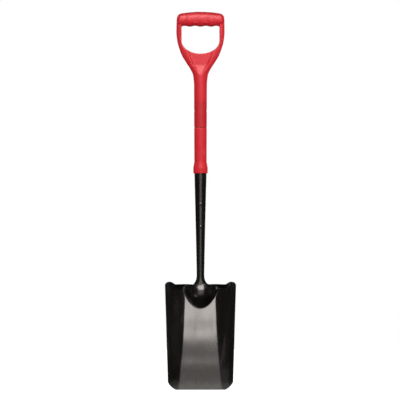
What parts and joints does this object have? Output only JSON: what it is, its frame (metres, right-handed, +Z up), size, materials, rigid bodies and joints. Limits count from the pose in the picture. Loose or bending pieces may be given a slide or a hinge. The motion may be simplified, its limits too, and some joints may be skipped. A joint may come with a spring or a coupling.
{
  "type": "square mouth shovel",
  "caption": "Square-mouth shovel: dished steel blade with turned-up sides, long tapered socket, plastic-covered shaft and moulded D-handle with finger grips.",
  "frame": {"origin": "underside of the grip bar on the centre line, where a wall peg carries the hanging shovel", "axes": "+Z up the shaft from the mouth of the blade to the grip, -Y out of the hollow side of the blade, X across the blade"},
  "size_m": [0.1892, 0.0681, 0.9979],
  "materials": {
    "lacquered_steel": "black lacquer over forged steel, satin, rubbed brighter on the pan and along the mouth",
    "rivet_steel": "black lacquer over a steel rivet, slightly rubbed",
    "filled_nylon": "glass-filled nylon, as moulded",
    "fibreglass": "pultruded glass fibre in resin",
    "plug_plastic": "as moulded",
    "red_plastic": "moulded polypropylene, satin, fine texture",
    "collar_plastic": "moulded polypropylene, satin",
    "pin_steel": "zinc-plated"
  },
  "bodies": {
    "root": {"blade_and_socket": "lacquered_steel", "rivet_upper": "rivet_steel", "rivet_lower": "rivet_steel", "socket_tenon": "filled_nylon", "shaft_tube": "fibreglass", "tube_plug": "plug_plastic", "shaft_sleeve": "red_plastic", "socket_collar": "collar_plastic", "d_handle": "red_plastic", "handle_pin": "pin_steel"}
  },
  "joints": []
}
